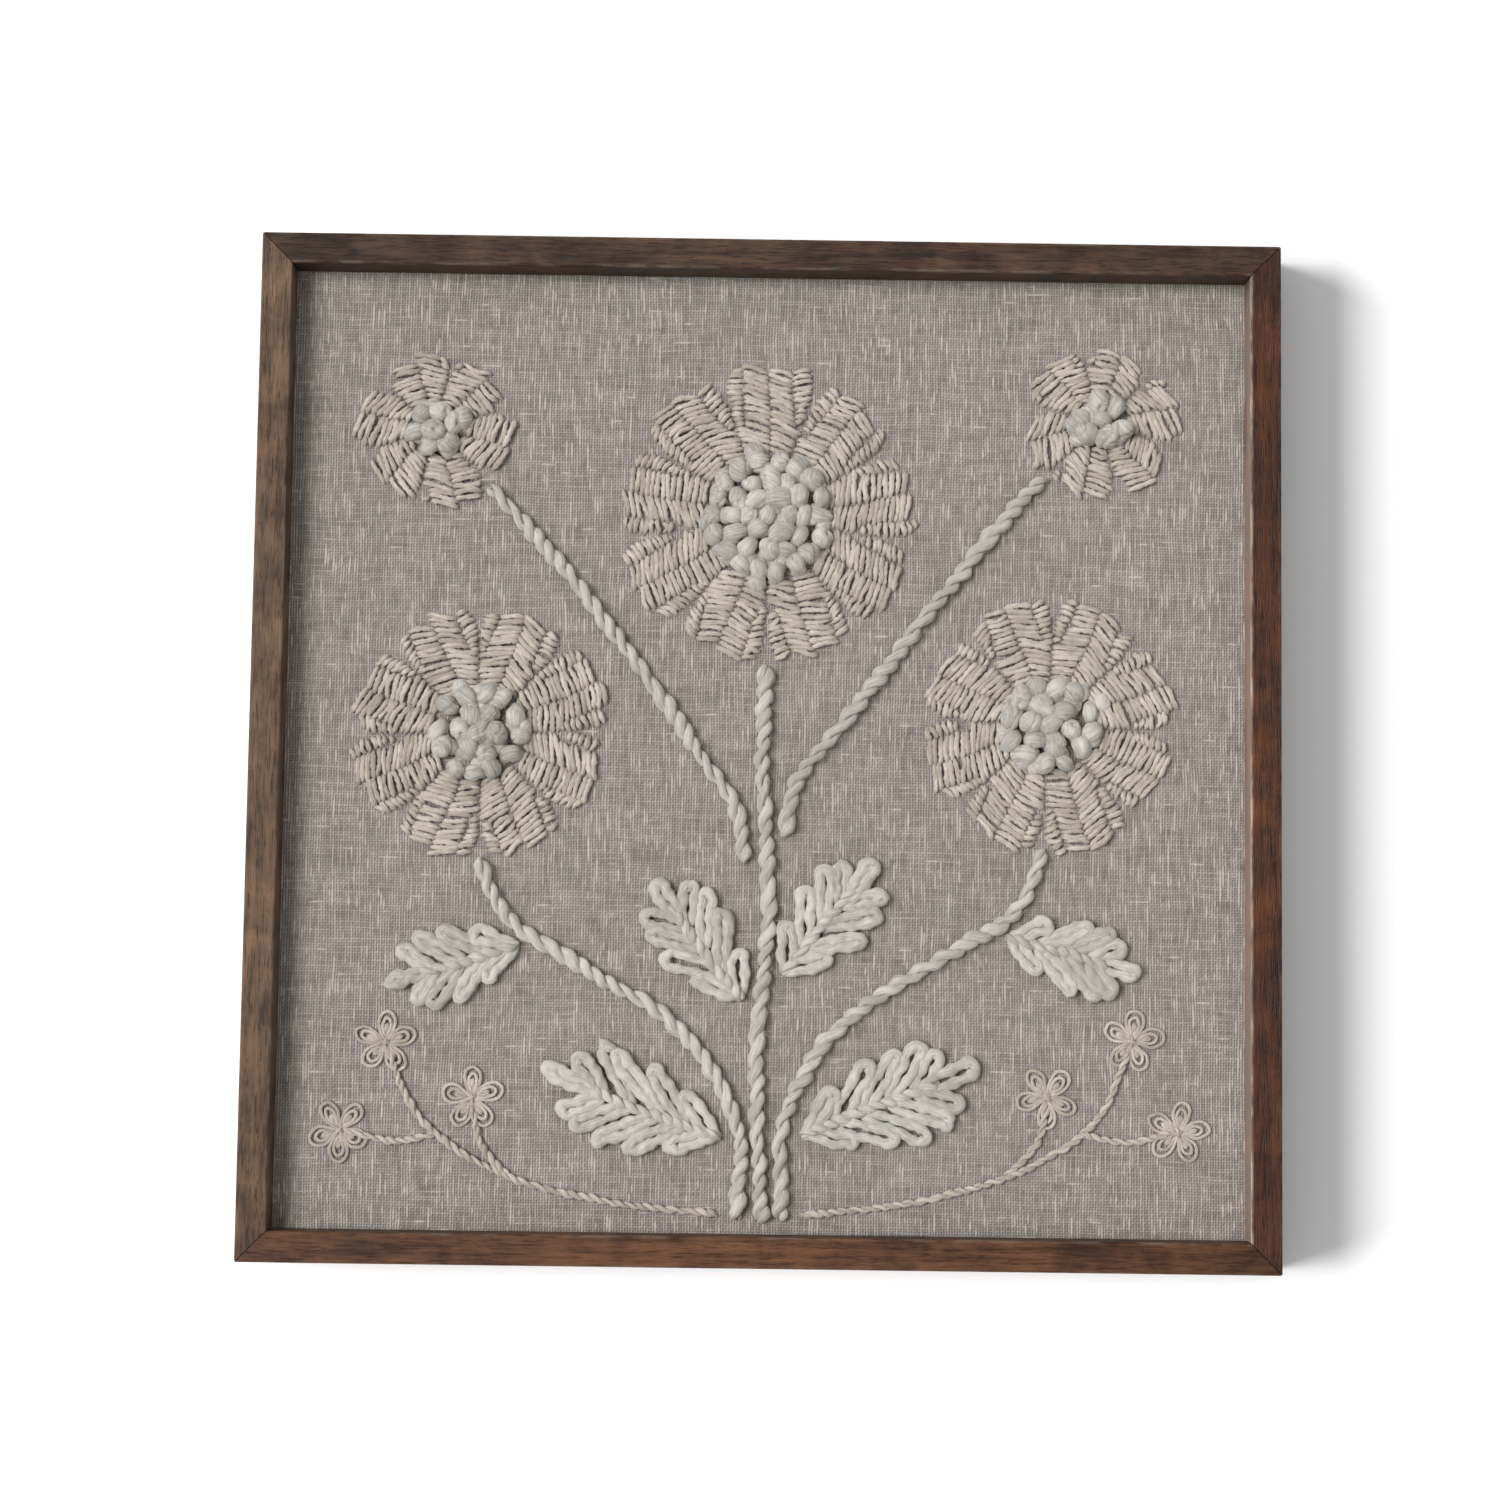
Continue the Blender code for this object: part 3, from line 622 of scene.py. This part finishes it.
def hairs(yarn, feet, outward, rng, count, length):
    """Loose fibres that stand off the roving, each a thin curved strand."""
    for k in rng.integers(0, len(feet), count):
        out = unit(outward[k] + rng.normal(0, 0.45, 3))
        along = unit(np.cross(out, rng.normal(size=3)))
        size = length * rng.uniform(0.5, 1.3)
        share = np.linspace(0, 1, 5)[:, None]
        line = feet[k] - out * 0.2 * MM + along * size * share
        line = line + out * size * rng.uniform(0.10, 0.5) * np.sin(2.2 * share)
        line = line + np.cross(out, along) * size * rng.normal(0, 0.2) * share**2
        line[:, 2] = np.maximum(line[:, 2], LINEN_TOP + 0.1 * MM)
        yarn.tube(line, HAIR, rng.random(), sides=3, plies=0, depth=0)


def work_heart(name, flower, material, shape):
    x, y, _, heart, _, turn = flower
    heart *= MM
    wander, rng = random.Random(name), np.random.default_rng(len(name) + int(heart * 1e5))
    rings = round((heart - KNOT_RADIUS) / KNOT_PITCH)
    pitch = (heart - KNOT_RADIUS) / rings
    knots = [(0.0, 0.0, dome(0, heart))]
    for ring in range(1, rings + 1):
        for i in range(6 * ring):
            angle = i + ring / 2 + wander.uniform(-KNOT_TURN, KNOT_TURN)
            angle *= math.tau / (6 * ring)
            radius = ring * pitch - wander.uniform(0, KNOT_WANDER)
            rise = dome(radius, heart) + wander.uniform(-0.5, 0.5) * KNOT_WANDER
            knots.append((radius * math.cos(angle), radius * math.sin(angle), rise))
    yarn = Yarn()
    coarse = ball(3)
    feet, outward = [], []
    for spot in placed(knots, x, y, math.radians(turn)):
        spot = spot + (0, 0, FOOT + 0.5 * MM) + rng.normal(0, 0.45 * MM, 3) * (1, 1, 0.6)
        size = BOBBLE * rng.uniform(0.9, 1.12)
        if rng.random() < 0.42:
            bean(yarn, spot, size, rng)
        else:
            puff(yarn, spot, size, rng, shape)
        lower = spot + (*rng.normal(0, 2.4 * MM, 2), -2.1 * MM)
        puff(yarn, lower, size * 0.88, rng, coarse)
        for _ in range(14):
            way = unit(rng.normal(size=3) + (0, 0, 0.6))
            feet.append(spot + way * size)
            outward.append(way)
    hairs(yarn, np.array(feet), np.array(outward), rng, 24 * len(knots), 2.8 * MM)
    yarn.piece(f"worked_heart_{name}", material, "roving", f"heart_{name}")


# Roving laid as ropes and loops

def drift(along, rng, *runs):
    """A smooth uneven number about 0, whose humps are as long as the named runs."""
    total = np.zeros_like(along)
    for run in runs:
        total = total + np.sin(math.tau * along / run + rng.uniform(0, math.tau)) / len(runs)
    return total


def rope(yarn, flat_line, along, width, height, pitch, rng, sides=12):
    """Two plies that turn round each other along a line on the linen, fat on top and thin below."""
    ahead = unit(np.gradient(flat_line, axis=0))
    aside = np.column_stack([-ahead[:, 1], ahead[:, 0]])
    ply, helix = width * 0.275, width * 0.225
    squash = height / width
    wave = rng.uniform(0, math.tau) + 1.1 * drift(along, rng, 3.1 * pitch, 5.7 * pitch)
    sway = 0.06 * width * drift(along, rng, 2.3 * pitch, 4.1 * pitch)
    for k in range(2):
        angle = math.tau * along / pitch + k * math.pi + wave
        loose = 1 + 0.20 * drift(along, rng, 1.13 * pitch, 2.9 * pitch)
        loose = loose + 0.06 * drift(along, rng, 0.43 * pitch)
        across = helix * np.cos(angle) * loose + sway
        z = FOOT + height / 2 + helix * squash * np.sin(angle)
        end = np.minimum(along, along[-1] - along)
        z = z - 1.3 * MM * fade(end, 1.6 * MM)
        fat = ply * loose * (1 + 0.17 * np.sin(angle)) * (1 - 0.45 * fade(end, 1.5 * MM))
        line = np.column_stack([flat_line + aside * across[:, None], z])
        yarn.tube(
            line, fat, rng.random(),
            sides=sides, plies=3, depth=0.07, lay=0.8 * pitch, flat=squash * 1.15,
        )


def work_stem(name, points, material):
    rng = np.random.default_rng(len(name) + 7)
    flat_line, along = smooth_line(np.array(points) * MM, 0.8 * MM)
    yarn = Yarn()
    rope(yarn, flat_line, along, *STEM_ROPE, rng)
    feet, outward = edge_feet(flat_line, 3.0 * MM, rng)
    hairs(yarn, feet, outward, rng, 2 * len(flat_line), 2.6 * MM)
    yarn.piece(f"worked_stem_{name}", material, "roving", f"stem_{name}")


def loops_of(name, length, width, pairs):
    """Where the loops up one side of a leaf root on its midrib, and how far they reach."""
    pitch = LEAF_RUN * length / pairs
    half = LOOP_FULL * pitch * math.sin(LOOP_ANGLE)
    wander = random.Random(name)
    loops = []
    for i in range(pairs):
        belly = math.sin(math.pi * (i + LEAF_START) / (pairs + LEAF_START + LEAF_END))
        reach = (width / 2 * belly**LEAF_BELLY - half) / math.sin(LOOP_ANGLE)
        loops.append((pitch * (i + LOOP_ROOT), reach * wander.uniform(LOOP_SHORTEST, LOOP_LONGEST)))
    return loops, half


def edge_feet(flat_line, half, rng):
    """Where loose fibres leave the sides of a strand on the linen, and which way."""
    ahead = unit(np.gradient(flat_line, axis=0))
    side = np.where(rng.random(len(flat_line)) < 0.5, -1.0, 1.0)
    aside = np.column_stack([-ahead[:, 1], ahead[:, 0]]) * side[:, None]
    height = rng.uniform(1.0, 3.6, len(flat_line)) * MM
    feet = np.column_stack([flat_line + aside * half * 0.9, FOOT + height])
    return feet, np.column_stack([aside, np.full(len(aside), 0.3)])


def loop(yarn, root, ahead, reach, half, lift, rng, x, y, turn, thick):
    """A loop of roving from its root, out round its tip and back, fat at the tip."""
    bend = float(np.clip(rng.normal(0, 0.05), -0.09, 0.09))
    ahead = np.array([ahead[0] - bend * ahead[1], ahead[1] + bend * ahead[0]])
    aside = np.array([-ahead[1], ahead[0]])
    thick = thick * rng.uniform(0.92, 1.13)
    spread = (half - thick) * rng.uniform(0.95, 1.3)
    profile = [(-0.02, 0.25), (0.3, 0.85), (0.62, 1.0), (0.88, 1.05)]
    tip = [(1.0, 0.74), (1.05, 0.0), (1.0, -0.74)]
    shape = profile + tip + [(out, -across) for out, across in reversed(profile)]
    full = reach + half - thick
    points = []
    for out, across in shape:
        wobble = rng.normal(0, 0.38 * MM, 2)
        points.append(np.array(root) + ahead * out * full + aside * across * spread + wobble)
    flat_line, along = smooth_line(points, 0.9 * MM)
    share = along / along[-1]
    z = FOOT + thick * 0.9 + lift * np.sin(math.pi * share) ** 0.5
    z = z + 0.3 * MM * drift(along, rng, 9 * MM, 17 * MM)
    z = z - 1.5 * MM * fade(np.minimum(along, along[-1] - along), 2 * MM)
    fat = thick * (0.86 + 0.2 * np.sin(math.pi * share) ** 2)
    fat = fat * (1 + 0.13 * drift(along, rng, 8 * MM, 13 * MM) + 0.05 * drift(along, rng, 3.6 * MM))
    line = placed(np.column_stack([flat_line, z]), x, y, turn)
    lay = rng.choice((-1, 1)) * rng.uniform(10, 15) * MM
    tint, phase = rng.random(), rng.uniform(0, 6)
    yarn.tube(line, fat, tint, sides=12, depth=0.13, lay=lay, flat=0.85, phase=phase)
    return line


def work_leaf(name, leaf, material):
    x, y, length, width, pairs, turn = leaf
    length, width, turn = length * MM, width * MM, math.radians(turn)
    rng = np.random.default_rng(len(name) * 31 + int(length * 1e4) + (3 if "left" in name else 0))
    yarn = Yarn()
    jobs = []
    for side in (1, -1):
        loops, half = loops_of(f"{name} {side}", length, width, pairs)
        for i, (root, reach) in enumerate(loops):
            slope = LOOP_ANGLE * side * (0.86 if i == 0 else 1)
            jobs.append((i, (root, 0.0), (math.cos(slope), math.sin(slope)), reach))
    lines = []
    for i, root, ahead, reach in sorted(jobs, key=lambda job: -job[0]):
        lift = rng.uniform(0.3, 1.1) * MM
        lines.append(loop(yarn, root, ahead, reach, half, lift, rng, x, y, turn, LEAF_YARN))
    tip = (length * 0.66, 0.0), (1.0, 0.0), length * 0.34 - half
    lines.append(loop(yarn, *tip, half, 0.9 * MM, rng, x, y, turn, LEAF_YARN))
    midrib = (0.5 * MM, 0), (length * 0.4, 0.6 * MM), (length * 0.78, 0)
    rib, along = smooth_line(midrib, 0.8 * MM)
    rope(yarn, placed(rib, x, y, turn), along, *RIB_ROPE, rng, sides=10)
    lines = np.concatenate(lines)
    away = unit(np.column_stack([rng.normal(size=(len(lines), 2)), np.full(len(lines), 0.5)]))
    hairs(yarn, lines + away * LEAF_YARN, away, rng, len(lines) // 2, 2.4 * MM)
    yarn.piece(f"worked_leaf_{name}", material, "roving", f"leaf_{name}")


# Sprigs and florets in thin wool

def teardrop(length, width, root):
    """A loop's outline from its root out and back."""
    shape = [(0, 0.06), (0.25, 0.55), (0.55, 0.98), (0.8, 0.9), (0.95, 0.5), (1, 0)]
    shape += [(out, -across) for out, across in reversed(shape[:-1])]
    return [(root + out * (length - root), across * width / 2) for out, across in shape]


def work_floret(yarn, middle_x, middle_y, turn, rng):
    for petal in range(5):
        ahead = math.radians(turn) + petal * math.tau / 5 + rng.normal(0, 0.07)
        length = FLORET_REACH * rng.uniform(0.88, 0.97)
        width = rng.uniform(7.2, 8.4) * MM
        for inner, (scale_l, scale_w) in enumerate(((1.0, 1.0), (0.8, 0.52), (0.6, 0.12))):
            long, wide = length * scale_l - 0.6 * MM, (width - 1.3 * MM) * scale_w
            outline = np.array(teardrop(long, wide, (0.6 + 1.5 * inner) * MM))
            outline = outline + rng.normal(0, 0.12 * MM, outline.shape)
            flat_line, along = smooth_line(outline, 0.75 * MM)
            end = np.minimum(along, along[-1] - along)
            z = FOOT + 0.62 * MM + 0.12 * MM * inner - 0.9 * MM * fade(end, MM)
            line = placed(np.column_stack([flat_line, z]), middle_x, middle_y, ahead)
            yarn.tube(line, FLORET_YARN, rng.random(), lay=4 * MM, depth=0.14)
    for k in range(4):
        ahead = math.radians(turn) + k * math.tau / 4 + rng.normal(0, 0.2)
        start = np.array([-1.6 * MM, 0.0])
        knot = start + np.array([3.2 * MM, 0]) * np.linspace(0, 1, 7)[:, None]
        z = FOOT + 1.25 * MM - 0.9 * MM * np.abs(np.linspace(-1, 1, 7)) ** 3
        line = placed(np.column_stack([knot, z]), middle_x, middle_y, ahead)
        yarn.tube(line, FLORET_KNOT, rng.random(), lay=4 * MM, depth=0.14)


def work_sprig(name, runs, florets, material):
    rng = np.random.default_rng(len(name) + 91)
    yarn = Yarn()
    for run in runs:
        flat_line, along = smooth_line(np.array(run) * MM, 0.6 * MM)
        rope(yarn, flat_line, along, *SPRIG_ROPE, rng, sides=8)
    for fx, fy, turn in florets:
        work_floret(yarn, fx, fy, turn, rng)
    yarn.piece(f"worked_sprig_{name}", material, "fine_wool", f"sprig_{name}")


# Linen

def lay_linen(material):
    """The stretched cloth: flat, drawn in a little where the thick yarn is worked through it."""
    cells = LINEN_CELLS
    grid = np.linspace(-PANEL_SIDE / 2, PANEL_SIDE / 2, cells + 1)
    gx, gy = np.meshgrid(grid, grid, indexing="ij")
    sink = np.zeros_like(gx)
    for x, y, reach, *_ in FLOWERS.values():
        away = np.hypot(gx - x * MM, gy - y * MM) - reach * MM
        sink += 0.22 * MM * fade(away, 4 * MM)
    ripple = 0.07 * MM * np.sin(gx * 61 + 1.3 * np.sin(gy * 23))
    ripple = ripple * np.sin(gy * 47 + 1.1 * np.sin(gx * 31))
    margin = np.minimum(PANEL_SIDE / 2 - np.abs(gx), PANEL_SIDE / 2 - np.abs(gy))
    top = LINEN_TOP - (sink + np.abs(ripple)) * np.clip(margin / (12 * MM), 0, 1)
    count = cells + 1
    upper = np.stack([gx, gy, top], -1).reshape(-1, 3)
    lower = np.stack([gx, gy, top - LINEN_THICK], -1).reshape(-1, 3)
    faces = []
    for i in range(cells):
        for j in range(cells):
            a = i * count + j
            quad = a, a + count, a + count + 1, a + 1
            faces += [quad, tuple(n + count * count for n in reversed(quad))]
    rim = [i * count for i in range(cells)] + [cells * count + j for j in range(cells)]
    rim += [i * count + cells for i in range(cells, 0, -1)] + list(range(cells, 0, -1))
    for a, b in zip(rim, rim[1:] + rim[:1]):
        faces.append((b, a, a + count * count, b + count * count))
    mesh = bpy.data.meshes.new("linen_cloth")
    mesh.from_pydata(np.concatenate([upper, lower]).tolist(), [], faces)
    mesh.shade_smooth()
    mesh.set_sharp_from_angle(angle=math.radians(40))
    mesh.materials.append(material)
    cloth = bpy.data.objects.new("linen_cloth", mesh)
    bpy.context.scene.collection.objects.link(cloth)
    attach(cloth, "root")
    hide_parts("linen_ground")


# Wood, light and camera

def finish_wood():
    # rail: light tone, dark tone, grain along x, place in the grain, share of painted light on its
    # inner wall
    rails = {
        "rail_left": ((0.285, 0.172, 0.098), (0.068, 0.039, 0.021), False, 3.1, 0.0),
        "rail_right": ((0.130, 0.041, 0.0125), (0.024, 0.0080, 0.0026), False, 8.7, 0.6),
        "rail_top": ((0.145, 0.078, 0.045), (0.033, 0.018, 0.0105), True, 5.3, 0.0),
        "rail_bottom": ((0.220, 0.096, 0.043), (0.052, 0.0205, 0.0090), True, 1.9, 0.0),
    }
    for node, (light, dark, along_x, seed, painted_wall_light) in rails.items():
        material = wood_material(f"stained_{node}", light, dark, along_x, seed, painted_wall_light)
        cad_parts[node].material_slots[0].material = material
    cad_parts["mounting_board"].material_slots[0].material = board_material()


def fill_mitres():
    """The dark glue line in each mitre, in the rail's own section."""
    section = [(RIM, LEDGE), (RIM, CREST), (OUTER, CREST)]
    section += [(OUTER, BASE), (WALL_LINE, BASE), (WALL_LINE, LEDGE)]
    count = len(section)
    verts, faces = [], []
    for sx, sy in ((1, 1), (-1, 1), (-1, -1), (1, -1)):
        start = len(verts)
        for shift in (-GLUE_HALF, GLUE_HALF):
            for out, z in section:
                verts.append(((out * sx + shift * sy) * MM, (out * sy - shift * sx) * MM, z * MM))
        ring = [start + i for i in range(count)]
        faces += [ring, [n + count for n in reversed(ring)]]
        for a, b in zip(ring, ring[1:] + ring[:1]):
            faces.append((a, a + count, b + count, b))
    mesh = bpy.data.meshes.new("mitre_glue")
    mesh.from_pydata(verts, [], faces)
    bm = bmesh.new()
    bm.from_mesh(mesh)
    bmesh.ops.recalc_face_normals(bm, faces=bm.faces)
    bm.to_mesh(mesh)
    bm.free()
    glue = bpy.data.objects.new("mitre_glue", mesh)
    g = Graph("dried_glue", 0.6, Specular_IOR_Level=0.2)
    place = g.node("TexCoord", {}).outputs["Object"]
    mesh.materials.append(g.paint(g.mix(g.noise(place, 300.0), GLUE_DARK, GLUE_LIGHT)))
    bpy.context.scene.collection.objects.link(glue)
    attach(glue, "root")


def set_stage():
    bpy.ops.mesh.primitive_plane_add(size=FLOOR_SIDE, location=(0, 0, 0))
    floor = bpy.context.object
    floor.name = "floor"
    paper = Graph("paper", 0.9, Specular_IOR_Level=0.0)
    paper.shader.inputs["Base Color"].default_value = PAPER
    floor.data.materials.append(paper.material)
    world = bpy.data.worlds.new("studio")
    world.use_nodes = True
    world.node_tree.nodes["Background"].inputs[0].default_value = (1, 1, 1, 1)
    world.node_tree.nodes["Background"].inputs[1].default_value = WORLD
    bpy.context.scene.world = world
    meant = {"floor": floor, "rail_right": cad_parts["rail_right"]}
    for name, (height, bearing, spread, power, state, target) in LIGHTS.items():
        light = bpy.data.lights.new(name, "SUN")
        light.energy, light.angle = power, math.radians(spread)
        lamp = bpy.data.objects.new(name, light)
        lamp.rotation_euler = (math.radians(90 - height), 0, math.radians(bearing))
        bpy.context.scene.collection.objects.link(lamp)
        lit = bpy.data.collections.new(f"{name}_lights")
        lit.objects.link(meant[target])
        lit.collection_objects[0].light_linking.link_state = state
        lamp.light_linking.receiver_collection = lit
    bpy.context.scene.view_settings.view_transform = "Standard"


def set_camera():
    camera = bpy.data.cameras.new("camera")
    camera.sensor_width = SENSOR
    camera.lens = LENS
    eye = bpy.data.objects.new("camera", camera)
    eye.location = EYE
    eye.rotation_euler = [math.radians(a) for a in EYE_TURN]
    bpy.context.scene.collection.objects.link(eye)
    bpy.context.scene.camera = eye


roving = wool("roving", (0.77, 0.735, 0.675), (0.50, 0.47, 0.42), 1300, 0.15)
bobbles = wool("bobbles", (0.80, 0.755, 0.68), (0.44, 0.41, 0.36), 1300, 0.12)
fine_wool = wool("fine_wool", (0.79, 0.71, 0.61), (0.47, 0.41, 0.33), 1500, 0.05)
round_shape = ball(4)
for name, flower in FLOWERS.items():
    work_petals(name, flower, fine_wool)
    work_heart(name, flower, bobbles, round_shape)
for name, points in STEMS.items():
    work_stem(name, points, roving)
for name, leaf in LEAVES.items():
    work_leaf(name, leaf, roving)
for name, runs in SPRIGS.items():
    work_sprig(name, runs, FLORETS[name], fine_wool)
lay_linen(linen_material())
finish_wood()
fill_mitres()
set_stage()
set_camera()
